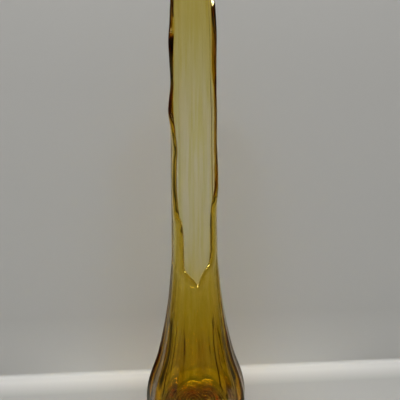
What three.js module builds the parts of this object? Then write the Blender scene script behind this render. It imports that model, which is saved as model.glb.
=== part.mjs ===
// A swung vase of amber glass, in one piece: a fluted bell on a short foot, drawn up into
// a neck that is open along its front, so that its back stands as a tall tongue.
// Millimetres, +Z up. The foot stands on z = 0, and the open side faces -Y.

import * as THREE from 'three';
import { ParametricGeometry } from 'three/addons/geometries/ParametricGeometry.js';
import { mergeGeometries, mergeVertices } from 'three/addons/utils/BufferGeometryUtils.js';

const { clamp, degToRad, lerp, smoothstep } = THREE.MathUtils;

// Outer shape
const overallHeight = 508;
const bellRadius = 57;
const bellHeight = 22;
const neckRadius = 26.6;
const neckHeight = 186;
const leanAtTop = 5.6;

// Foot
const footRadius = 40;
const footHeight = 6;
const footRound = 1.5;
const footRingWidth = 5;
const puntRise = 3;

// Hollow
const notchWall = 4;
const bulbHeight = 26;
const floorHeight = 12.5;
const discRadius = 36;

// How square the rounds of the belly and of the hollow are: 1 gives an ellipse, less is squarer
const roundness = 0.6;

// Flutes pressed into the outside of the bell
const fluteCount = 12;
const fluteDepth = 3.2;
const fluteFullHeight = 52;
const fluteFadeHeight = 176;
const fluteShareOnNeck = 0.2;

// Open mouth: a notch in the front whose two lips run up to the shoulders of the tongue
const notchHeight = 148;
const notchAngle = 8;
const notchRound = 4;
const rightShoulderHeight = 466;
const leftShoulderHeight = 476;
const scallopCount = 3;
const scallopDepth = 7;
const tipShare = 9 / 16;

// Fire-polished lip
const lipThickness = 5;
const lipRise = 2.2;
const lipSpread = 3;
const lipWave = 0.7;
const lipWaveSpread = 14;

// Flare of the bell over the neck, from the widest level (0) to the start of the neck (1)
const bellFlare = [ [ 0, 1 ], [ 0.12, 0.9 ], [ 0.285, 0.58 ], [ 0.46, 0.35 ], [ 0.65, 0.17 ], [ 0.82, 0.07 ], [ 1, 0 ] ];

// Wall as a share of the wall under the notch, from the bulb's widest level (0) to the tip (1):
// thick pressed glass below, drawn thin by the swing, then the thicker rim it was swung from
const wallShare = [
	[ 0, 1.9 ], [ 0.06, 1.9 ], [ 0.1, 1.72 ], [ 0.14, 1.36 ], [ 0.19, 1.08 ], [ 0.25, 0.85 ], [ 0.31, 0.55 ],
	[ 0.43, 0.42 ], [ 0.58, 0.42 ], [ 0.7, 0.6 ], [ 0.83, 0.85 ], [ 0.92, 1.1 ], [ 1, 1.15 ]
];

// Angle of each lip from the front, in degrees, from the notch (0) to the tip's level (1).
// The slow waves are the scallops of the pressed rim, drawn out by the swing.
const rightLip = [
	[ 0, 15 ], [ 0.04, 25 ], [ 0.068, 42 ], [ 0.1, 50 ], [ 0.145, 52 ], [ 0.225, 55 ], [ 0.262, 61 ],
	[ 0.3, 74 ], [ 0.34, 83 ], [ 0.39, 88 ], [ 0.5, 89 ], [ 0.62, 92 ], [ 0.7, 98 ], [ 0.8, 95 ],
	[ 0.865, 90 ], [ 0.92, 97 ], [ 1, 100 ]
];
const leftLip = [
	[ 0, 4 ], [ 0.052, 31 ], [ 0.074, 33 ], [ 0.145, 36 ], [ 0.188, 40 ], [ 0.212, 49 ], [ 0.265, 55 ],
	[ 0.32, 57 ], [ 0.385, 56 ], [ 0.42, 54 ], [ 0.468, 61 ], [ 0.5, 68 ], [ 0.54, 80 ], [ 0.585, 90 ],
	[ 0.633, 99 ], [ 0.694, 91 ], [ 0.744, 89 ], [ 0.79, 94 ], [ 0.834, 102 ], [ 0.89, 96 ], [ 1, 98 ]
];

// Fineness of the faceted surface
const fluteColumns = fluteCount * 6;
const plainColumns = fluteColumns / 2;
const footRows = 3;
const bellyRows = 6;
const bellRows = 18;
const innerRows = 11;
const mouthRows = 30;
const bowlRows = 6;
const floorRows = 3;
const puntRows = 3;
const lipRows = 4;
const finest = 1e4;

// Smooth curve through [ place, value ] stations, level at both ends
function through( stations, place ) {

	const last = stations.length - 1;
	let i = 0;
	while ( i < last - 1 && place > stations[ i + 1 ][ 0 ] ) i ++;

	const slopeAt = ( k ) => {

		if ( k === 0 || k === last ) return 0;
		const [ before, after ] = [ stations[ k - 1 ], stations[ k + 1 ] ];
		return ( after[ 1 ] - before[ 1 ] ) / ( after[ 0 ] - before[ 0 ] );

	};

	const [ from, to ] = [ stations[ i ], stations[ i + 1 ] ];
	const span = to[ 0 ] - from[ 0 ];
	const t = clamp( ( place - from[ 0 ] ) / span, 0, 1 );
	const ease = t * t * ( 3 - 2 * t );
	const bend = t * ( 1 - t ) * span * ( slopeAt( i ) * ( 1 - t ) - slopeAt( i + 1 ) * t );
	return lerp( from[ 1 ], to[ 1 ], ease ) + bend;

}

// Outer radius at a height above the widest level, over the ridges between the flutes
function outerRadius( z ) {

	const share = ( z - bellHeight ) / ( neckHeight - bellHeight );
	return neckRadius + ( bellRadius - neckRadius ) * through( bellFlare, share );

}

// Thickness of the wall at a height, away from the lip
function wallThickness( z ) {

	return notchWall * through( wallShare, ( z - bulbHeight ) / ( overallHeight - bulbHeight ) );

}

// Radius of the hollow at a height above the bulb's widest level
function innerRadius( z ) {

	return outerRadius( z ) - wallThickness( z );

}

// Depth of the flutes, which meet in sharp ridges; one ridge points to the notch
function flute( angle, z ) {

	const footFade = smoothstep( z, footHeight, bellHeight );
	const neckFade = lerp( 1, fluteShareOnNeck, smoothstep( z, fluteFullHeight, fluteFadeHeight ) );
	const across = Math.abs( Math.sin( fluteCount * degToRad( angle - notchAngle ) / 2 ) );
	return fluteDepth * footFade * neckFade * across;

}

// Level of the tongue's top edge across its width, from the right lip (0) to the left lip (1)
function topHeight( u ) {

	const shoulder = lerp( rightShoulderHeight, leftShoulderHeight, u );
	const half = u < tipShare ? u / tipShare / 2 : 1 - ( 1 - u ) / ( 1 - tipShare ) / 2;
	const arch = Math.sin( Math.PI * half ) ** 0.6;
	const scallop = ( 1 - Math.cos( 2 * Math.PI * scallopCount * ( u - tipShare ) ) ) / 2;
	return lerp( shoulder, overallHeight - lipRise, arch ) - scallopDepth * scallop * arch;

}

// Angles of the right and the left lip at a height, measured from the front
function lipAngles( z ) {

	const share = ( z - notchHeight ) / ( overallHeight - notchHeight );
	const opening = Math.sqrt( 1 - Math.exp( - ( z - notchHeight ) / notchRound ) );
	return [
		lerp( notchAngle, through( rightLip, share ), opening ),
		lerp( notchAngle, - through( leftLip, share ), opening )
	];

}

// Angle of a column: full circles in step with the flutes, then the arc between the two lips
function columnAngle( u, z ) {

	if ( z <= notchHeight ) return 360 * ( u % 1 ) + notchAngle;
	const [ right, left ] = lipAngles( z );
	return lerp( right, 360 + left, u );

}

// Distance along the glass to the nearest lip
function lipDistance( u, z ) {

	const angle = columnAngle( u, z );
	const alongArc = ( from ) => neckRadius * degToRad( Math.abs( angle - from ) );
	if ( z <= notchHeight ) {

		const aside = Math.min( alongArc( notchAngle ), alongArc( notchAngle + 360 ) );
		return Math.hypot( aside, notchHeight - z );

	}

	const [ right, left ] = lipAngles( z );
	return Math.min( alongArc( right ), alongArc( 360 + left ), topHeight( u ) - z );

}

// Point of the glass at an angle, radius and height, on the leaning centre line
function pointAt( angle, radius, z, target ) {

	const lean = leanAtTop * Math.max( 0, ( z - bellHeight ) / ( overallHeight - bellHeight ) );
	const x = radius * Math.sin( degToRad( angle ) ) - lean;
	const y = - radius * Math.cos( degToRad( angle ) );
	const [ xFine, yFine, zFine ] = [ x, y, z ].map( ( value ) => Math.round( value * finest ) / finest );
	return target.set( xFine, yFine, zFine );

}

// Point of the outer (1) or inner (-1) face of the wall; both swell towards the lip
function wallPoint( face, u, z, target ) {

	const angle = columnAngle( u, z );
	const away = lipDistance( u, z );
	const swell = ( lipThickness - wallThickness( z ) ) / 2 * Math.exp( - ( ( away / lipSpread ) ** 2 ) );
	const share = ( z - notchHeight ) / ( overallHeight - notchHeight );
	const wave = lipWave * Math.sin( 2 * Math.PI * 4 * share ) * Math.exp( - ( ( away / lipWaveSpread ) ** 2 ) );
	const radius = face > 0 ? outerRadius( z ) - flute( angle, z ) : innerRadius( z );
	return pointAt( angle, radius + face * swell + ( z > notchHeight ? wave : 0 ), z, target );

}

// Steps the rows above the notch, close together where the notch turns
function mouthPoint( face, u, rise, target ) {

	return wallPoint( face, u, lerp( notchHeight, topHeight( u ), rise ** 1.3 ), target );

}

// Column on the outside; where it meets the plain neck or foot, every other one ends
function outsideColumn( u, atEdge ) {

	return atEdge ? Math.floor( u * plainColumns ) / plainColumns : u;

}

// Outside of the bell, from its widest level up to the notch
function bellPoint( u, v, target ) {

	return wallPoint( 1, outsideColumn( u, v === 1 ), lerp( bellHeight, notchHeight, v ), target );

}

// Underside of the bell, from the foot out and round to the widest level
function bellyPoint( u, v, target ) {

	const turn = Math.PI / 2 * v;
	const start = footRadius + footHeight - footRound;
	const rise = v < 1 ? 1 - Math.cos( turn ) ** roundness : 1;
	const z = lerp( footHeight, bellHeight, rise );
	const angle = columnAngle( outsideColumn( u, v === 0 ), z );
	const radius = lerp( start, bellRadius, Math.sin( turn ) ** roundness );
	return pointAt( angle, radius - flute( angle, z ), z, target );

}

// Place on the edge of the mouth: up the right lip, over the tongue and down the left lip
function lipPlace( step ) {

	const around = mouthRows * 2 + plainColumns;
	const k = ( step + around ) % around;
	if ( k <= mouthRows ) return [ 0, k / mouthRows ];
	if ( k <= mouthRows + plainColumns ) return [ ( k - mouthRows ) / plainColumns, 1 ];
	return [ 1, ( around - k ) / mouthRows ];

}

// Half-round lip that joins the outer face to the inner one
function lipPoint( s, w, target ) {

	const step = Math.round( s * ( mouthRows * 2 + plainColumns ) );
	const at = ( face, k ) => mouthPoint( face, ...lipPlace( k ), new THREE.Vector3() );
	const [ outer, inner ] = [ at( 1, step ), at( - 1, step ) ];
	if ( w === 0 ) return target.copy( outer );
	if ( w === 1 ) return target.copy( inner );

	const half = outer.clone().sub( inner ).divideScalar( 2 );
	const along = at( 1, step + 1 ).add( at( - 1, step + 1 ) ).sub( at( 1, step - 1 ) ).sub( at( - 1, step - 1 ) );
	const rise = half.clone().cross( along ).setLength( lipRise * Math.sin( Math.PI * w ) );
	target.copy( outer ).sub( half ).addScaledVector( half, Math.cos( Math.PI * w ) );
	return target.add( rise );

}

// Round corner of the hollow, from its wall down to the flat disc on its floor
function bowlPoint( u, v, target ) {

	const turn = Math.PI / 2 * v;
	const inward = v < 1 ? Math.cos( turn ) ** roundness : 0;
	const radius = lerp( discRadius, innerRadius( bulbHeight ), inward );
	const z = lerp( bulbHeight, floorHeight, Math.sin( turn ) ** roundness );
	return pointAt( columnAngle( u, bulbHeight ), radius, z, target );

}

function floorPoint( u, v, target ) {

	return pointAt( columnAngle( u, bulbHeight ), discRadius * ( 1 - v ), floorHeight, target );

}

// Shallow dome under the bottom
function puntPoint( u, v, target ) {

	const radius = footRadius - footRound - footRingWidth;
	return pointAt( columnAngle( u, 0 ), radius * v, puntRise * ( 1 - v * v ), target );

}

// Flat ring that the vase stands on
function footRingPoint( u, v, target ) {

	const outer = footRadius - footRound;
	return pointAt( columnAngle( u, 0 ), lerp( outer - footRingWidth, outer, v ), 0, target );

}

// Rounded lower edge of the foot
function footEdgePoint( u, v, target ) {

	const turn = Math.PI / 2 * v;
	const radius = footRadius - footRound * ( 1 - Math.sin( turn ) );
	return pointAt( columnAngle( u, 0 ), radius, footRound * ( 1 - Math.cos( turn ) ), target );

}

// Side of the foot, hollowed out to meet the belly
function footSidePoint( u, v, target ) {

	const turn = Math.PI / 2 * v;
	const rise = footHeight - footRound;
	const radius = footRadius + rise * ( 1 - Math.cos( turn ) );
	return pointAt( columnAngle( u, 0 ), radius, footRound + rise * Math.sin( turn ), target );

}

// Joins the patches into one closed skin and drops the triangles that closed up to a line
function closedSkin( patches ) {

	patches.forEach( ( patch ) => patch.deleteAttribute( 'normal' ).deleteAttribute( 'uv' ) );
	const skin = mergeVertices( mergeGeometries( patches ) );
	const corners = skin.index.array;
	const kept = [];
	for ( let i = 0; i < corners.length; i += 3 ) {

		const [ a, b, c ] = corners.subarray( i, i + 3 );
		if ( a !== b && b !== c && c !== a ) kept.push( a, b, c );

	}

	skin.setIndex( kept );
	skin.computeVertexNormals();
	return skin;

}

function glassBody() {

	const inner = ( u, v, target ) => wallPoint( - 1, u, lerp( notchHeight, bulbHeight, v ), target );
	const skin = closedSkin( [
		new ParametricGeometry( puntPoint, plainColumns, puntRows ),
		new ParametricGeometry( footRingPoint, plainColumns, 1 ),
		new ParametricGeometry( footEdgePoint, plainColumns, footRows ),
		new ParametricGeometry( footSidePoint, plainColumns, footRows ),
		new ParametricGeometry( bellyPoint, fluteColumns, bellyRows ),
		new ParametricGeometry( bellPoint, fluteColumns, bellRows ),
		new ParametricGeometry( ( u, v, target ) => mouthPoint( 1, u, v, target ), plainColumns, mouthRows ),
		new ParametricGeometry( lipPoint, mouthRows * 2 + plainColumns, lipRows ),
		new ParametricGeometry( ( u, v, target ) => mouthPoint( - 1, u, 1 - v, target ), plainColumns, mouthRows ),
		new ParametricGeometry( inner, plainColumns, innerRows ),
		new ParametricGeometry( bowlPoint, plainColumns, bowlRows ),
		new ParametricGeometry( floorPoint, plainColumns, floorRows )
	] );

	const amber = new THREE.MeshStandardMaterial( {
		color: 0xb07d12,
		roughness: 0.04,
		metalness: 0,
		transparent: true,
		opacity: 0.55
	} );
	const mesh = new THREE.Mesh( skin, amber );
	mesh.name = 'glass_body';
	return mesh;

}

const vase = new THREE.Group();
vase.add( glassBody() );

export default vase;
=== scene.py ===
"""A tall swung vase of amber glass on pale paper, built as one closed glass mesh."""

import math

import bmesh
import bpy
import numpy as np
from bpy.props import FloatProperty, FloatVectorProperty, IntProperty, PointerProperty
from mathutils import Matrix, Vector


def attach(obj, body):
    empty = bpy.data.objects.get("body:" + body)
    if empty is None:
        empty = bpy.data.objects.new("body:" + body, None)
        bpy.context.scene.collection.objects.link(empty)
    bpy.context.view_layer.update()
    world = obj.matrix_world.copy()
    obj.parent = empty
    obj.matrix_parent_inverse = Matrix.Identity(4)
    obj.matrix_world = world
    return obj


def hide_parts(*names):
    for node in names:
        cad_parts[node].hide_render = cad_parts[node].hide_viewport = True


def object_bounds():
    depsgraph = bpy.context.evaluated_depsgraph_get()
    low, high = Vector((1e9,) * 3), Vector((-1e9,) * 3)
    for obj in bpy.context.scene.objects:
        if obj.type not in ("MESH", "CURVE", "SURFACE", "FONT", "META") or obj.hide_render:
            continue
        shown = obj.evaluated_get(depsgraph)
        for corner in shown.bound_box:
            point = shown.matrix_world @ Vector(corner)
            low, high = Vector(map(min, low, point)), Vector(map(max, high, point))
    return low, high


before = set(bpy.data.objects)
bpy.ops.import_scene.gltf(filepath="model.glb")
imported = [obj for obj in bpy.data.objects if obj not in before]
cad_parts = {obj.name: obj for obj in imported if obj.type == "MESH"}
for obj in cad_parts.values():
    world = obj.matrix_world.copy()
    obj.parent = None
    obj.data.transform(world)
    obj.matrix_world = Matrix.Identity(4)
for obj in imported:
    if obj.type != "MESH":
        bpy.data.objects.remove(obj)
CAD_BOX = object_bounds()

bl_info = {
    "name": "Swung Glass Vase",
    "version": (1, 0, 0),
    "blender": (4, 5, 0),
    "location": "View3D > Sidebar > Vase",
    "description": "Builds a swung vase of amber glass with a fluted bell and an open notched neck",
    "category": "Add Mesh",
}

MM = 0.001
FULL_TURN = 2 * math.pi

# Name of the body that the glass hangs from, and of the part in model.glb that it stands in for
BODY = "root"
CAD_NODE = "glass_body"

# Side of the picture in pixels, and width of the camera's sensor in millimetres
PICTURE = 400
SENSOR = 36.0

# Flare of the bell over the neck, from the widest level (0) to the start of the neck (1)
BELL_FLARE = [(0, 1), (0.12, 0.9), (0.285, 0.58), (0.46, 0.35), (0.65, 0.17), (0.82, 0.07), (1, 0)]

# Angle of the notch's point from the front, in degrees: a little to the right of the middle
NOTCH_ANGLE = 8.0

# Tip of the tongue, as a share of the way from the right lip to the left one, and the number of
# scallops along that way
TIP_SHARE = 9 / 16
SCALLOPS = 3

# How square the top of the tongue is: 1 gives a plain arch, less is squarer
ARCH = 0.6

# Angle of each lip from the front, in degrees, from the notch (0) to the tip's level (1).
# The slow waves are the scallops of the pressed rim, drawn out by the swing.
RIGHT_LIP = [
    (0, 15), (0.04, 25), (0.068, 42), (0.1, 50), (0.145, 52), (0.225, 55), (0.262, 61),
    (0.3, 74), (0.34, 83), (0.39, 88), (0.5, 89), (0.62, 92), (0.7, 98), (0.8, 95),
    (0.865, 90), (0.92, 97), (1, 100),
]
LEFT_LIP = [
    (0, 4), (0.052, 31), (0.074, 33), (0.145, 36), (0.188, 40), (0.212, 49), (0.265, 55),
    (0.32, 57), (0.385, 56), (0.42, 54), (0.468, 61), (0.5, 68), (0.54, 80), (0.585, 90),
    (0.633, 99), (0.694, 91), (0.744, 89), (0.79, 94), (0.834, 102), (0.89, 96), (1, 98),
]

# Wall of the bell, the neck and the tongue, as a share of the notch's wall, from the bulb's
# widest level (0) to the tip (1): thick pressed glass, drawn thin, with a thick old rim.
WALL_SHARE = [
    (0, 1.9), (0.06, 1.9), (0.1, 1.72), (0.14, 1.36), (0.19, 1.08), (0.25, 0.85), (0.31, 0.55),
    (0.43, 0.42), (0.58, 0.42), (0.7, 0.6), (0.83, 0.85), (0.92, 1.1), (1, 1.15),
]

# How square the rounds of the belly and of the hollow are: 1 gives an ellipse, less is squarer
ROUNDNESS = 0.6

# Thickness of each lip as a share of the lip's size, from the notch (0) to the tip's level (1)
RIGHT_BEAD = [(0, 1), (0.38, 0.9), (0.46, 0.75), (0.6, 0.75), (0.68, 1.1), (0.8, 1.2), (1, 1)]
LEFT_BEAD = [
    (0, 1), (0.3, 1), (0.45, 0.8), (0.55, 1.2), (0.65, 0.8), (0.8, 1.3), (0.92, 0.7), (1, 1),
]

# Width of the lip's swelling, and the part of the way round over which its thickness changes
# from the right lip's to the left lip's
LIP_SPREAD = 6 * MM
LIP_CHANGE = (0.3, 0.7)

# Slow waves of the lips in and out: height, number and how far they reach into the wall
LIP_WAVE = 0.4 * MM
LIP_WAVES = 4
LIP_WAVE_SPREAD = 14 * MM

# Drawn streaks: depth, the numbers of waves round the glass, how much they drift round over a
# metre, how much they swell, how fast the swell comes and goes, and the draw they start from
STREAK = 0.1 * MM
STREAK_WAVES = range(5, 60, 3)
STREAK_DRIFT = 9
STREAK_SWELL = 0.6
STREAK_SLOW = (20, 60)
STREAK_SEED = 3

# Width over which the chill rings fade at the edge of the disc, to each side of it
CHILL_EDGE = 3 * MM

# Ripple of the hollow's floor at its round corner: height, waves round it, place and width
RIPPLE = 0.3 * MM
RIPPLE_WAVES = 24
RIPPLE_PLACE = 37 * MM
RIPPLE_WIDTH = 5 * MM

# Share of the flutes' depth that is left on the neck
NECK_SHARE = 0.2

# Fineness of the mesh, and how closely its columns crowd at the ridges and its rows at the notch
COLUMN_CROWD = 0.8
ROW_CROWD = 1.3
COLUMNS = 168
FOOT_ROWS = 5
BELLY_ROWS = 24
BELL_ROWS = 70
MOUTH_ROWS = 150
HOLLOW_ROWS = 50
BOWL_ROWS = 16
DISC_ROWS = 46
PUNT_ROWS = 12
LIP_ROWS = 10

# Points that are closer than this become one
WELD = 1e-6

# Fine relief of the glass: how far it stretches along the neck, fineness, strength and height
RELIEF_STRETCH = 0.03
RELIEF_SCALE = 330.0
RELIEF_STRENGTH = 0.35
RELIEF_HEIGHT = 0.12 * MM

# Bands of the streaks' tint: how far they stretch along the neck, fineness, and the levels of the
# noise where the tint starts and where it is full
BAND_STRETCH = 0.05
BAND_SCALE = 200.0
BAND_LOW = 0.42
BAND_HIGH = 0.6

# Heights where the deep tint is full and where it has gone, and the same for the foot's tint, which is
# partly painted shade
DEEP_FULL = 80 * MM
DEEP_GONE = 150 * MM
FOOT_SHADE_FULL = 16 * MM
FOOT_SHADE_GONE = 21 * MM

# Tint of what the glass mirrors
SHEEN = (1.0, 0.88, 0.22, 1)

# Bounces of light inside the glass, and in all
GLASS_BOUNCES = 24
ALL_BOUNCES = 32

# Lamps: name, place, size and watts; all are turned to the same point of the vase
LAMP_AIM = (0, 0, 0.25)
LAMPS = (
    ("lamp_over", (-0.1, -0.35, 1.7), 1.3, 14.0),
    ("lamp_left", (-0.5, -0.9, 1.9), 0.12, 3.0),
    ("lamp_right", (0.6, -0.7, 1.9), 0.12, 3.0),
)

# Room light on the paper: least light, more from behind and more from above. Each range goes from
# where the light starts to grow to where it is full, as a part of the direction's length.
ROOM_COLOUR = (1.0, 0.99, 0.965, 1)
ROOM_LIGHT = 0.16
BACK_RANGE = (-0.7, 0.5)
BACK_LIGHT = 0.24
UP_RANGE = (0.15, 0.9)
UP_LIGHT = 0.9

# Room that the camera sees past the paper
SEEN_LIGHT = 0.36

# Room that the glass mirrors and bends: nearly dark, with a level band that fades up and down,
# a little more light above, and a bright ceiling that reaches 37 degrees from straight up
GLASS_DARK = 0.02
LEVEL_RANGE = (0.12, 0.35)
LEVEL_LIGHT = 0.36
HIGH_RANGE = (0.5, 0.9)
HIGH_LIGHT = 0.15
CEILING_RANGE = (0.8, 0.82)
CEILING_LIGHT = 25.0

# Backdrop: height, half of its width, radius of its fold, how far it reaches over the floor,
# steps of the fold, and the gap under the sheet
WALL_TALL = 1.5
WALL_HALF = 0.75
FOLD_ROUND = 5 * MM
FOLD_REACH = 60 * MM
FOLD_STEPS = 10
PAPER_GAP = 0.4 * MM

# Heights over which the backdrop goes from the floor's colour to the lower wall's, which is painted a
# little lighter as painted light, and on to the upper wall's
TURN_RANGE = (2 * MM, 12 * MM)
WALL_LIGHT_RANGE = (0.1, 0.4)

# The fold's painted highlight, a lighter band that only the camera sees: the way from the sheet's edge to
# where it is full, and the heights over which it fades up the wall
FOLD_LIGHT_RANGE = (-FOLD_REACH, -0.3 * FOLD_REACH)
FOLD_LIGHT_FADE = (4 * MM, 80 * MM)

# Distances to the side over which the backdrop is painted dark for all but the camera: painted shade, for
# the dim room that the glass mirrors and bends
WING_SHADE_RANGE = (0.17, 0.27)

# Floor: half of its side, and the distances over which it is painted darker, a painted falloff of light
# away from the vase
FLOOR_HALF = 4.0
FLOOR_SHADE_RANGE = (0.3, 1.2)


def length(name, description, default):
    """A length property, in metres."""
    return FloatProperty(name=name, description=description, default=default, unit="LENGTH")


class VaseSizes(bpy.types.PropertyGroup):
    """Sizes of the glass, in metres."""

    height: length("Height", "Table to the tip of the tongue", CAD_BOX[1].z)
    bell_radius: length("Bell radius", "Widest radius, over the ridges", 57 * MM)
    bell_height: length("Bell height", "Level of the widest radius", 22 * MM)
    neck_radius: length("Neck radius", "Outer radius of the drawn neck", 26.6 * MM)
    neck_height: length("Neck height", "Level where the bell has become the neck", 186 * MM)
    foot_radius: length("Foot radius", "Outer radius of the foot", 40 * MM)
    foot_height: length("Foot height", "Height of the foot under the bell", 6 * MM)
    foot_round: length("Foot round", "Rounding of the foot's edge", 1.5 * MM)
    foot_ring: length("Foot ring", "Width of the flat ring that the vase stands on", 5 * MM)
    punt_rise: length("Punt rise", "Height of the dome under the bottom", 3 * MM)
    floor: length("Floor", "Level of the flat floor of the hollow", 12.5 * MM)
    bulb_height: length("Bulb height", "Level of the hollow's widest radius", 26 * MM)
    notch_wall: length("Notch wall", "Wall just under the notch", 4 * MM)
    disc_radius: length("Disc radius", "Radius of the flat disc on the hollow's floor", 36 * MM)
    chill_depth: length("Chill depth", "Height of the chill rings on the disc", 0.55 * MM)
    chill_pitch: length("Chill pitch", "Distance from one chill ring to the next", 7.2 * MM)
    lean: length("Lean", "Sideways lean of the neck at the tip", 5.6 * MM)
    notch_height: length("Notch height", "Level of the notch's point", 148 * MM)
    notch_round: length("Notch round", "Rounding of the notch's point", 4 * MM)
    right_shoulder: length("Right shoulder", "Level where the right lip turns in", 466 * MM)
    left_shoulder: length("Left shoulder", "Level where the left lip turns in", 476 * MM)
    scallop: length("Scallop", "Depth of the scallops on the tongue's top", 7 * MM)
    lip: length("Lip", "Thickness of the fire-polished lip", 5.6 * MM)
    lip_rise: length("Lip rise", "How far the lip's round stands out", 2.8 * MM)
    flute_depth: length("Flute depth", "Depth of the hollow flutes round the bell", 3.2 * MM)
    flute_full: length("Flute full", "Level up to which the flutes keep their full depth", 52 * MM)
    flute_fade: length("Flute fade", "Level where the flutes have faded into the neck", 137 * MM)
    flutes: IntProperty(name="Flutes", description="Number of flutes round the bell", default=12, min=4)


class GlassLook(bpy.types.PropertyGroup):
    """Colour and finish of the glass."""

    colour: FloatVectorProperty(
        name="Colour", description="Colour that light keeps as it crosses the glass",
        subtype="COLOR", size=3, default=(0.9, 0.775, 0.014), min=0, max=1,
    )
    streak: FloatVectorProperty(
        name="Streak", description="Tint of the drawn streaks",
        subtype="COLOR", size=3, default=(0.94, 0.93, 0.65), min=0, max=1,
    )
    deep: FloatVectorProperty(
        name="Deep", description="Tint of the glass low in the bell",
        subtype="COLOR", size=3, default=(0.92, 0.9, 0.35), min=0, max=1,
    )
    # Partly the glass's colour, partly painted shade: the foot's faces are painted darker for the shaded
    # paper under the vase seen through them
    foot: FloatVectorProperty(
        name="Foot", description="Tint of the faces of the solid foot",
        subtype="COLOR", size=3, default=(0.66, 0.79, 0.35), min=0, max=1,
    )
    shadow: FloatVectorProperty(
        name="Shadow", description="Share of the light that one face of the glass lets on to the paper",
        subtype="COLOR", size=3, default=(0.83, 0.8, 0.68), min=0, max=1,
    )
    density: FloatProperty(name="Density", description="Absorption in 1/m", default=370.0)
    ior: FloatProperty(name="IOR", description="Index of refraction", default=1.51)


class StageLook(bpy.types.PropertyGroup):
    """Paper, lamps and camera."""

    backdrop: FloatVectorProperty(
        name="Backdrop", description="Colour of the paper behind",
        subtype="COLOR", size=3, default=(0.452, 0.449, 0.435), min=0, max=1,
    )
    # Painted light: the lower backdrop is painted a little lighter than the upper wall
    lit_low_wall: FloatVectorProperty(
        name="Low wall", description="Colour of the lower backdrop",
        subtype="COLOR", size=3, default=(0.465, 0.465, 0.451), min=0, max=1,
    )
    floor: FloatVectorProperty(
        name="Floor", description="Colour of the paper under the vase",
        subtype="COLOR", size=3, default=(0.36, 0.36, 0.346), min=0, max=1,
    )
    # Painted highlight: the paper is painted lighter where it turns up, as light falls on the fold
    fold: FloatVectorProperty(
        name="Fold", description="Colour of the paper where it turns up",
        subtype="COLOR", size=3, default=(0.59, 0.59, 0.57), min=0, max=1,
    )
    # Painted shade: the backdrop far to the sides is painted nearly black, as the dim room that the glass
    # mirrors and bends
    shaded_wings: FloatVectorProperty(
        name="Wings", description="Colour of the backdrop far to the sides",
        subtype="COLOR", size=3, default=(0.01, 0.008, 0.005), min=0, max=1,
    )
    # Painted shade: the floor far from the vase is painted darker, so that light seems to pool round the
    # vase
    shaded_far_floor: FloatVectorProperty(
        name="Far floor", description="Colour of the floor far from the vase",
        subtype="COLOR", size=3, default=(0.2, 0.2, 0.2), min=0, max=1,
    )
    distance: length("Camera distance", "From the camera to the vase's axis", 500 * MM)
    eye: length("Camera height", "Height of the camera over the table", 243.6 * MM)
    aside: length("Camera aside", "Camera to the right of the axis", 4 * MM)
    focal: FloatProperty(name="Focal", description="Focal length in pixels of the picture", default=433.0)
    wall: length("Backdrop distance", "From the axis back to the backdrop", 120.6 * MM)
    wall_turn: FloatProperty(
        name="Backdrop turn", description="How far the backdrop is turned",
        subtype="ANGLE", default=math.radians(6.4),
    )


def through(stations, place):
    """Smooth curve through (place, value) stations, level at both ends."""
    at, value = np.array(stations, float).T
    slope = np.zeros(len(at))
    slope[1:-1] = (value[2:] - value[:-2]) / (at[2:] - at[:-2])
    i = np.clip(np.searchsorted(at, place) - 1, 0, len(at) - 2)
    span = at[i + 1] - at[i]
    t = np.clip((place - at[i]) / span, 0, 1)
    ease = t * t * (3 - 2 * t)
    bend = t * (1 - t) * span * (slope[i] * (1 - t) - slope[i + 1] * t)
    return value[i] + (value[i + 1] - value[i]) * ease + bend


def smooth_step(x, low, high):
    """0 below low, 1 above high, and smooth between them."""
    t = np.clip((x - low) / (high - low), 0, 1)
    return t * t * (3 - 2 * t)


def mix(low, high, t):
    """Value a share t of the way from low to high."""
    return low * (1 - t) + high * t


def streaks(seed, angle, z):
    """Faint drawn streaks along the glass, as an offset of its surface."""
    draw = np.random.default_rng(seed)
    total = np.zeros(np.broadcast(angle, z).shape)
    for waves in STREAK_WAVES:
        phase = draw.uniform(0, FULL_TURN)
        drift = draw.uniform(-STREAK_DRIFT, STREAK_DRIFT)
        swell = 1 + STREAK_SWELL * np.sin(draw.uniform(*STREAK_SLOW) * z + draw.uniform(0, FULL_TURN))
        total += swell * np.sin(waves * np.radians(angle) + phase + drift * z) / waves**0.5
    return STREAK * total


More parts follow.
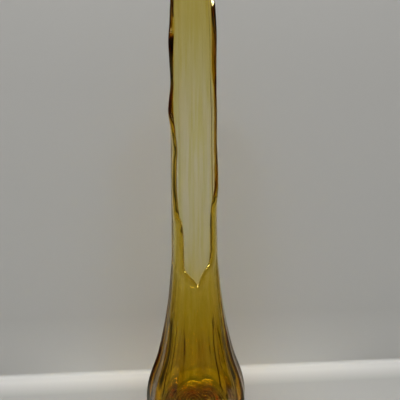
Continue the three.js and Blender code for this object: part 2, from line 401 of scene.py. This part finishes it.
class VaseShape:
    """Places the points of the glass. Angles run from the front, and heights from the table."""

    def __init__(self, sizes):
        self.s = sizes

    def outer_radius(self, z):
        """Outer radius at a height above the widest level, over the ridges."""
        s = self.s
        share = (z - s.bell_height) / (s.neck_height - s.bell_height)
        return s.neck_radius + (s.bell_radius - s.neck_radius) * through(BELL_FLARE, share)

    def inner_radius(self, z):
        """Radius of the hollow at a height above the bulb's widest level."""
        return self.outer_radius(z) - self.wall_thickness(z)

    def wall_thickness(self, z):
        """Thickness of the wall at a height, away from the lip."""
        s = self.s
        return s.notch_wall * through(WALL_SHARE, (z - s.bulb_height) / (s.height - s.bulb_height))

    def flute(self, angle, z):
        """Depth of the hollow flutes, which meet in sharp ridges; one ridge points to the notch."""
        foot_fade = smooth_step(z, self.s.foot_height, self.s.bell_height)
        neck_fade = mix(1, NECK_SHARE, smooth_step(z, self.s.flute_full, self.s.flute_fade))
        across = np.abs(np.sin(self.s.flutes * np.radians(angle - NOTCH_ANGLE) / 2))
        return self.s.flute_depth * foot_fade * neck_fade * across

    def top_height(self, u):
        """Level of the tongue's top edge, from the right lip (0) to the left lip (1)."""
        s, tip = self.s, TIP_SHARE
        shoulder = mix(s.right_shoulder, s.left_shoulder, u)
        half = np.where(u < tip, u / tip / 2, 1 - (1 - u) / (1 - tip) / 2)
        arch = np.clip(np.sin(np.pi * half), 0, 1) ** ARCH
        scallop = (1 - np.cos(FULL_TURN * SCALLOPS * (u - tip))) / 2
        return mix(shoulder, s.height - s.lip_rise, arch) - s.scallop * scallop * arch

    def lip_angles(self, z):
        """Angles of the right and the left lip at a height."""
        s = self.s
        share = (z - s.notch_height) / (s.height - s.notch_height)
        opening = np.sqrt(1 - np.exp(-np.maximum(0, z - s.notch_height) / s.notch_round))
        right = mix(NOTCH_ANGLE, through(RIGHT_LIP, share), opening)
        left = mix(NOTCH_ANGLE, -through(LEFT_LIP, share), opening)
        return right, left

    def column_angle(self, u, z):
        """Full circles with columns crowded at the ridges, then the arc between the two lips."""
        s = self.s
        ridges = FULL_TURN * s.flutes
        crowd = COLUMN_CROWD * (1 - smooth_step(z, s.flute_full, s.notch_height)) / ridges
        round_angle = 360 * (u - crowd * np.sin(ridges * u)) + NOTCH_ANGLE
        right, left = self.lip_angles(z)
        return np.where(z <= s.notch_height, round_angle, mix(right, 360 + left, u))

    def lip_distance(self, u, z):
        """Distance along the glass to the nearest lip."""
        s, angle = self.s, self.column_angle(u, z)
        right, left = self.lip_angles(z)
        to_right = s.neck_radius * np.radians(np.abs(angle - right))
        to_left = s.neck_radius * np.radians(np.abs(360 + left - angle))
        aside = np.minimum(to_right, to_left)
        below = np.hypot(aside, s.notch_height - z)
        above = np.minimum(aside, self.top_height(u) - z)
        return np.where(z <= s.notch_height, below, above)

    def point(self, angle, radius, z):
        """Points of the glass, on the leaning centre line."""
        s = self.s
        lean = s.lean * np.maximum(0, (z - s.bell_height) / (s.height - s.bell_height))
        turn = np.radians(angle)
        return np.stack([radius * np.sin(turn) - lean, -radius * np.cos(turn), z + 0 * turn], -1)

    def wall(self, face, u, z):
        """Points of the outer (1) or inner (-1) face of the wall; both swell towards the lip."""
        s, angle, away = self.s, self.column_angle(u, z), self.lip_distance(u, z)
        share = (z - s.notch_height) / (s.height - s.notch_height)
        uneven = mix(through(RIGHT_BEAD, share), through(LEFT_BEAD, share), smooth_step(u, *LIP_CHANGE))
        swell = (s.lip * uneven - self.wall_thickness(z)) / 2 * np.exp(-((away / LIP_SPREAD) ** 2))
        wave = LIP_WAVE * np.sin(FULL_TURN * LIP_WAVES * share) * np.exp(-((away / LIP_WAVE_SPREAD) ** 2))
        wave = np.where(share > 0, wave, 0)
        radius = self.outer_radius(z) - self.flute(angle, z) if face > 0 else self.inner_radius(z)
        relief = streaks(STREAK_SEED + face, angle, z) * smooth_step(z, s.flute_full, s.notch_height)
        return self.point(angle, radius + face * swell + wave + relief, z)

    def mouth(self, face, u, rise):
        """Wall above the notch, with close rows where the notch turns."""
        return self.wall(face, u, mix(self.s.notch_height, self.top_height(u), rise**ROW_CROWD))

    def lip_round(self):
        """Half-round lip that joins the outer face to the inner one, along the mouth's edge."""
        up = np.arange(MOUTH_ROWS + 1) / MOUTH_ROWS
        over = np.arange(1, COLUMNS) / COLUMNS
        u = np.concatenate([0 * up, over, 0 * up[1:] + 1])
        rise = np.concatenate([up, 0 * over + 1, up[::-1][:-1]])
        outer, inner = self.mouth(1, u, rise), self.mouth(-1, u, rise)
        middle, half = (outer + inner) / 2, (outer - inner) / 2
        along = np.roll(middle, -1, 0) - np.roll(middle, 1, 0)
        out = np.cross(half, along)
        out *= self.s.lip_rise / np.linalg.norm(out, axis=-1, keepdims=True)
        bend = np.linspace(0, np.pi, LIP_ROWS + 1)[:, None, None]
        round_lip = middle + half * np.cos(bend) + out * np.sin(bend)
        round_lip[0], round_lip[-1] = outer, inner
        return np.concatenate([round_lip, round_lip[:, :1]], 1)

    def bowl(self, u, v):
        """Round corner of the hollow, from its wall down to the disc on its floor."""
        s, turn = self.s, v * np.pi / 2
        rim = self.inner_radius(s.bulb_height)
        r = s.disc_radius + (rim - s.disc_radius) * np.cos(turn) ** ROUNDNESS * (v < 1)
        z = mix(s.bulb_height, s.floor, np.sin(turn) ** ROUNDNESS)
        return self.floor_point(u, r, z)

    def disc(self, u, v):
        """Flat disc in the middle of the hollow's floor."""
        return self.floor_point(u, self.s.disc_radius * (1 - v), self.s.floor)

    def floor_point(self, u, r, z):
        """Points of the hollow's bottom, with the chill rings on the disc and the ripple round it."""
        s = self.s
        on_disc = 1 - smooth_step(r, s.disc_radius - CHILL_EDGE, s.disc_radius + CHILL_EDGE)
        rings = s.chill_depth * np.cos(FULL_TURN * r / s.chill_pitch)
        angle = self.column_angle(u, s.bulb_height)
        corner = np.exp(-(((r - RIPPLE_PLACE) / RIPPLE_WIDTH) ** 2))
        ripple = RIPPLE * np.sin(RIPPLE_WAVES * np.radians(angle)) * corner
        return self.point(angle, r, z + on_disc * rings + ripple)

    def belly(self, u, v):
        """Underside of the bell, from the foot out and round to the widest level."""
        s, turn = self.s, v * np.pi / 2
        start = s.foot_radius + s.foot_height - s.foot_round
        r = start + (s.bell_radius - start) * np.sin(turn) ** ROUNDNESS
        z = s.foot_height + (s.bell_height - s.foot_height) * (1 - np.cos(turn) ** ROUNDNESS * (v < 1))
        angle = self.column_angle(u, z)
        return self.point(angle, r - self.flute(angle, z), z)

    def foot_edge(self, u, v):
        """Rounded lower edge of the foot."""
        s, turn = self.s, v * np.pi / 2
        r = s.foot_radius - s.foot_round * (1 - np.sin(turn))
        return self.point(self.column_angle(u, 0.0), r, s.foot_round * (1 - np.cos(turn)))

    def foot_side(self, u, v):
        """Side of the foot, hollowed out to meet the belly."""
        s, turn = self.s, v * np.pi / 2
        rise = s.foot_height - s.foot_round
        r = s.foot_radius + rise * (1 - np.cos(turn))
        return self.point(self.column_angle(u, 0.0), r, s.foot_round + rise * np.sin(turn))

    def punt(self, u, v):
        """Shallow dome under the bottom."""
        s = self.s
        radius = s.foot_radius - s.foot_round - s.foot_ring
        return self.point(self.column_angle(u, 0.0), radius * v, s.punt_rise * (1 - v * v) + 0 * u)

    def foot_ring(self, u, v):
        """Flat ring that the vase stands on."""
        s = self.s
        outer = s.foot_radius - s.foot_round
        return self.point(self.column_angle(u, 0.0), outer - s.foot_ring * (1 - v), 0 * u * v)

    def patches(self):
        """Grids of points that meet along their edges and face outwards."""
        s = self.s
        u = np.linspace(0, 1, COLUMNS + 1)[None, :]

        def rows(count):
            return np.linspace(0, 1, count + 1)[:, None]

        yield self.punt(u, rows(PUNT_ROWS))
        yield self.foot_ring(u, rows(2))
        yield self.foot_edge(u, rows(FOOT_ROWS))
        yield self.foot_side(u, rows(FOOT_ROWS))
        yield self.belly(u, rows(BELLY_ROWS))
        yield self.wall(1, u, mix(s.bell_height, s.notch_height, rows(BELL_ROWS)))
        yield self.mouth(1, u, rows(MOUTH_ROWS))
        yield self.lip_round()
        yield self.mouth(-1, u, rows(MOUTH_ROWS)[::-1])
        yield self.wall(-1, u, mix(s.notch_height, s.bulb_height, rows(HOLLOW_ROWS)))
        yield self.bowl(u, rows(BOWL_ROWS))
        yield self.disc(u, rows(DISC_ROWS))


def weld(name, patches):
    """One smooth mesh from grids of points, with their shared edges merged."""
    points, faces, first = [], [], 0
    for patch in patches:
        down, across = patch.shape[:2]
        corner = first + np.arange(down * across).reshape(down, across)
        around = [corner[:-1, :-1], corner[:-1, 1:], corner[1:, 1:], corner[1:, :-1]]
        faces.append(np.stack(around, -1).reshape(-1, 4))
        points.append(patch.reshape(-1, 3))
        first += down * across
    mesh = bpy.data.meshes.new(name)
    mesh.from_pydata(np.concatenate(points).tolist(), [], np.concatenate(faces).tolist())
    shell = bmesh.new()
    shell.from_mesh(mesh)
    bmesh.ops.remove_doubles(shell, verts=shell.verts, dist=WELD)
    bmesh.ops.dissolve_degenerate(shell, edges=shell.edges, dist=WELD)
    for face in shell.faces:
        face.smooth = True
    shell.to_mesh(mesh)
    shell.free()
    return mesh


class Value:
    """A number or colour that flows between nodes, so that shader maths reads as Python."""

    def __init__(self, graph, socket):
        self.graph = graph
        self.socket = socket

    def maths(self, operation, *others):
        """A Math node of this value and others."""
        inputs = dict(enumerate((self, *others)))
        return self.graph.node("ShaderNodeMath", {"operation": operation}, inputs)

    def __add__(self, other):
        return self.maths("ADD", other)

    __radd__ = __add__

    def __mul__(self, other):
        return self.maths("MULTIPLY", other)

    __rmul__ = __mul__

    def __rsub__(self, other):
        return (self * -1) + other

    def between(self, low, high):
        """0 at low, 1 at high, and even between them."""
        return self.graph.node(
            "ShaderNodeMapRange", {}, {"Value": self, "From Min": low, "From Max": high}
        )


class Graph:
    """The nodes of one material or world."""

    def __init__(self, tree):
        self.tree = tree
        tree.nodes.clear()

    def blend(self, share, low, high):
        """Colour a share of the way from low to high."""
        start, end = (c if isinstance(c, Value) else (*c, 1) for c in (low, high))
        return self.node("ShaderNodeMix", {"data_type": "RGBA"}, {0: share, 6: start, 7: end}, 2)

    def node(self, kind, settings, sockets, out=0):
        """A node of that type, its settings first, then its sockets; gives one output."""
        node = self.tree.nodes.new(kind)
        for name, value in settings.items():
            setattr(node, name, value)
        for name, value in sockets.items():
            if isinstance(value, Value):
                self.tree.links.new(value.socket, node.inputs[name])
            else:
                node.inputs[name].default_value = value
        return Value(self, node.outputs[out]) if len(node.outputs) else None


def drawn_noise(graph, place, stretch, scale, detail, roughness):
    """Noise that is drawn out along the neck."""
    long = graph.node("ShaderNodeVectorMath", {"operation": "MULTIPLY"}, {0: place, 1: (1, 1, stretch)})
    return graph.node(
        "ShaderNodeTexNoise", {},
        {"Vector": long, "Scale": scale, "Detail": detail, "Roughness": roughness},
    )


def amber_glass(look):
    """Clear amber glass: most of the colour is in its depth, and drawn streaks run along it."""
    material = bpy.data.materials.new("amber_glass")
    material.use_nodes = True
    graph = Graph(material.node_tree)
    place = graph.node("ShaderNodeTexCoord", {}, {}, "Object")
    fine = drawn_noise(graph, place, RELIEF_STRETCH, RELIEF_SCALE, detail=2.0, roughness=0.5)
    bump = graph.node(
        "ShaderNodeBump", {}, {"Strength": RELIEF_STRENGTH, "Distance": RELIEF_HEIGHT, "Height": fine}
    )
    band = drawn_noise(graph, place, BAND_STRETCH, BAND_SCALE, detail=3.0, roughness=0.6)
    up = graph.node("ShaderNodeSeparateXYZ", {}, {0: place}, "Z")
    amber = graph.blend(up.between(DEEP_GONE, DEEP_FULL), (1, 1, 1), look.deep)
    # Partly painted shade: the foot's faces are tinted darker and less red, for the shaded paper under
    # the vase
    amber = graph.blend(up.between(FOOT_SHADE_GONE, FOOT_SHADE_FULL), amber, look.foot)
    dark = graph.blend(band.between(BAND_LOW, BAND_HIGH), (1, 1, 1), look.streak)
    tint = graph.node(
        "ShaderNodeMix", {"data_type": "RGBA", "blend_type": "MULTIPLY"}, {0: 1.0, 6: amber, 7: dark}, 2
    )
    glass = graph.node(
        "ShaderNodeBsdfPrincipled", {},
        {
            "Base Color": tint, "Roughness": 0.0, "IOR": look.ior,
            "Transmission Weight": 1.0, "Specular Tint": SHEEN, "Normal": bump,
        },
    )
    clear = graph.node("ShaderNodeBsdfTransparent", {}, {"Color": (*look.shadow, 1)})
    shadow = graph.node("ShaderNodeLightPath", {}, {}, "Is Shadow Ray")
    surface = graph.node("ShaderNodeMixShader", {}, {0: shadow, 1: glass, 2: clear})
    depth = graph.node(
        "ShaderNodeVolumeAbsorption", {}, {"Color": (*look.colour, 1), "Density": look.density}
    )
    graph.node("ShaderNodeOutputMaterial", {}, {"Surface": surface, "Volume": depth})
    return material


def paper(name, shade_of):
    """Matt pale paper, seen from its front only, so that a view from behind looks past it."""
    material = bpy.data.materials.new(name)
    material.use_nodes = True
    graph = Graph(material.node_tree)
    place = graph.node("ShaderNodeTexCoord", {}, {}, "Object")
    sheet = graph.node(
        "ShaderNodeBsdfPrincipled", {},
        {"Base Color": shade_of(graph, place), "Roughness": 0.85, "Specular IOR Level": 0.2},
    )
    clear = graph.node("ShaderNodeBsdfTransparent", {}, {})
    behind = graph.node("ShaderNodeNewGeometry", {}, {}, "Backfacing")
    surface = graph.node("ShaderNodeMixShader", {}, {0: behind, 1: sheet, 2: clear})
    graph.node("ShaderNodeOutputMaterial", {}, {"Surface": surface})
    return material


def sweep_shade(look):
    """Colour of the backdrop: the floor's, a painted highlight on the fold, the wall's with painted light
    low down, and wings painted dark as painted shade of the room.
    """
    def shade(graph, place):
        along = graph.node("ShaderNodeSeparateXYZ", {}, {0: place}, "Y")
        up = graph.node("ShaderNodeSeparateXYZ", {}, {0: place}, "Z")
        # Painted light: the lower wall is painted a little lighter than the upper wall
        upright = graph.blend(up.between(*TURN_RANGE), look.floor, look.lit_low_wall)
        upright = graph.blend(up.between(*WALL_LIGHT_RANGE), upright, look.backdrop)
        # Painted highlight: the fold is painted lighter, for the camera only
        fold_light = along.between(*FOLD_LIGHT_RANGE) * (1 - up.between(*FOLD_LIGHT_FADE))
        aside = graph.node("ShaderNodeSeparateXYZ", {}, {0: place}, "X").maths("ABSOLUTE")
        seen = graph.node("ShaderNodeLightPath", {}, {}, "Is Camera Ray")
        middle = graph.blend(fold_light * seen, upright, look.fold)
        # Painted shade: far to the sides the backdrop is painted nearly black for all but the camera
        wing_shade = aside.between(*WING_SHADE_RANGE) * (1 - seen)
        return graph.blend(wing_shade, middle, look.shaded_wings)
    return shade


def floor_shade(look):
    """Colour of the floor: pale round the vase, and painted darker far away as a painted falloff of
    light.
    """
    def shade(graph, place):
        away = graph.node("ShaderNodeVectorMath", {"operation": "LENGTH"}, {0: place}, "Value")
        # Painted falloff of light: the floor is painted darker away from the vase
        return graph.blend(away.between(*FLOOR_SHADE_RANGE), look.floor, look.shaded_far_floor)
    return shade


def add_object(name, data, place=(0, 0, 0)):
    """A new object in the scene."""
    made = bpy.data.objects.new(name, data)
    made.location = place
    bpy.context.scene.collection.objects.link(made)
    return made


def paper_sweep(look):
    """Backdrop that rises behind the vase from a tight fold, turned a little to the right."""
    bends = [math.pi / 2 * i / FOLD_STEPS for i in range(FOLD_STEPS + 1)]
    fold = [(FOLD_ROUND * (math.sin(b) - 1), FOLD_ROUND * (1 - math.cos(b))) for b in bends]
    profile = [(-FOLD_REACH, 0), *fold, (0, WALL_TALL)]
    points = [(x, y, z + PAPER_GAP) for y, z in profile for x in (-WALL_HALF, WALL_HALF)]
    faces = [(a, a + 1, a + 3, a + 2) for a in range(0, 2 * len(profile) - 2, 2)]
    mesh = bpy.data.meshes.new("stage_backdrop")
    mesh.from_pydata(points, [], faces)
    for face in mesh.polygons:
        face.use_smooth = True
    backdrop = add_object("stage_backdrop", mesh, (0, look.wall, 0))
    backdrop.rotation_euler.z = look.wall_turn
    return backdrop


def floor_sheet():
    """Wide floor under everything."""
    half = FLOOR_HALF
    mesh = bpy.data.meshes.new("stage_floor")
    corners = [(-half, -half, 0), (half, -half, 0), (half, half, 0), (-half, half, 0)]
    mesh.from_pydata(corners, [], [(0, 1, 2, 3)])
    return add_object("stage_floor", mesh)


def soft_lamp(name, place, size, watts):
    """Square soft box at a place, turned to the vase."""
    lamp = bpy.data.lights.new(name, "AREA")
    lamp.shape = "SQUARE"
    lamp.size = size
    lamp.energy = watts
    made = add_object(name, lamp, place)
    made.rotation_euler = (Vector(LAMP_AIM) - Vector(place)).to_track_quat("-Z", "Y").to_euler()
    return made


class VASE_OT_glass_body(bpy.types.Operator):
    """Build the vase as one closed body of amber glass"""

    bl_idname = "vase.glass_body"
    bl_label = "Glass Body"

    def execute(self, context):
        shape = VaseShape(context.scene.vase_sizes)
        body = add_object("vase_glass", weld("vase_glass", shape.patches()))
        body.data.materials.append(amber_glass(context.scene.vase_glass))
        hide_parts(CAD_NODE)
        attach(body, BODY)
        return {"FINISHED"}


class VASE_OT_stage(bpy.types.Operator):
    """Lay the paper, hang the lamps and set the camera"""

    bl_idname = "vase.stage"
    bl_label = "Stage"

    def execute(self, context):
        scene, look = context.scene, context.scene.vase_stage
        sheets = ((paper_sweep(look), sweep_shade(look)), (floor_sheet(), floor_shade(look)))
        for made, shade in sheets:
            made.data.materials.append(paper(made.name, shade))
        for lamp in LAMPS:
            soft_lamp(*lamp)
        self.light_room(scene)
        self.place_camera(scene, look)
        scene.view_settings.view_transform = "Standard"
        scene.cycles.glossy_bounces = GLASS_BOUNCES
        scene.cycles.transmission_bounces = GLASS_BOUNCES
        scene.cycles.max_bounces = ALL_BOUNCES
        scene.cycles.transparent_max_bounces = GLASS_BOUNCES
        return {"FINISHED"}

    def light_room(self, scene):
        """Soft room light on the paper, and a room of its own for what the glass mirrors and bends."""
        world = bpy.data.worlds.new("room")
        world.use_nodes = True
        graph = Graph(world.node_tree)
        way = graph.node("ShaderNodeTexCoord", {}, {}, "Generated")
        up = graph.node("ShaderNodeSeparateXYZ", {}, {0: way}, "Z")
        back = graph.node("ShaderNodeSeparateXYZ", {}, {0: way}, "Y")
        seen = graph.node("ShaderNodeLightPath", {}, {}, "Is Camera Ray")
        glossy = graph.node("ShaderNodeLightPath", {}, {}, "Is Glossy Ray")
        paper_light = ROOM_LIGHT + back.between(*BACK_RANGE) * BACK_LIGHT
        paper_light = paper_light + up.between(*UP_RANGE) * UP_LIGHT
        level = 1 - up.maths("ABSOLUTE").between(*LEVEL_RANGE)
        glass_light = GLASS_DARK + level * LEVEL_LIGHT + up.between(*HIGH_RANGE) * HIGH_LIGHT
        glass_light = glass_light + up.between(*CEILING_RANGE) * CEILING_LIGHT
        light = paper_light * (1 - glossy) + glass_light * glossy
        room = graph.node(
            "ShaderNodeBackground", {},
            {"Color": ROOM_COLOUR, "Strength": light * (1 - seen) + SEEN_LIGHT * seen},
        )
        graph.node("ShaderNodeOutputWorld", {}, {"Surface": room})
        scene.world = world

    def place_camera(self, scene, look):
        """Camera of the photo's view."""
        camera = bpy.data.cameras.new("camera")
        camera.sensor_width = SENSOR
        camera.lens = look.focal * SENSOR / PICTURE
        made = add_object("camera", camera, (look.aside, -look.distance, look.eye))
        made.rotation_euler = (math.radians(90), 0, 0)
        scene.camera = made


class VASE_PT_panel(bpy.types.Panel):
    """Sizes, colours and steps of the vase"""

    bl_label = "Swung Glass Vase"
    bl_idname = "VASE_PT_panel"
    bl_space_type = "VIEW_3D"
    bl_region_type = "UI"
    bl_category = "Vase"

    def draw(self, context):
        for group in (context.scene.vase_sizes, context.scene.vase_glass, context.scene.vase_stage):
            box = self.layout.box()
            for name in group.__annotations__:
                box.prop(group, name)
        for step in STEPS:
            self.layout.operator(step.bl_idname)


STEPS = (VASE_OT_stage, VASE_OT_glass_body)
CLASSES = (VaseSizes, GlassLook, StageLook, *STEPS, VASE_PT_panel)


def register():
    """Adds the classes and their settings."""
    for kind in CLASSES:
        bpy.utils.register_class(kind)
    bpy.types.Scene.vase_sizes = PointerProperty(type=VaseSizes)
    bpy.types.Scene.vase_glass = PointerProperty(type=GlassLook)
    bpy.types.Scene.vase_stage = PointerProperty(type=StageLook)


def unregister():
    """Takes them away again."""
    del bpy.types.Scene.vase_sizes
    del bpy.types.Scene.vase_glass
    del bpy.types.Scene.vase_stage
    for kind in reversed(CLASSES):
        bpy.utils.unregister_class(kind)


def main():
    """Builds the scene."""
    register()
    bpy.ops.vase.stage()
    bpy.ops.vase.glass_body()


if __name__ == "__main__":
    main()
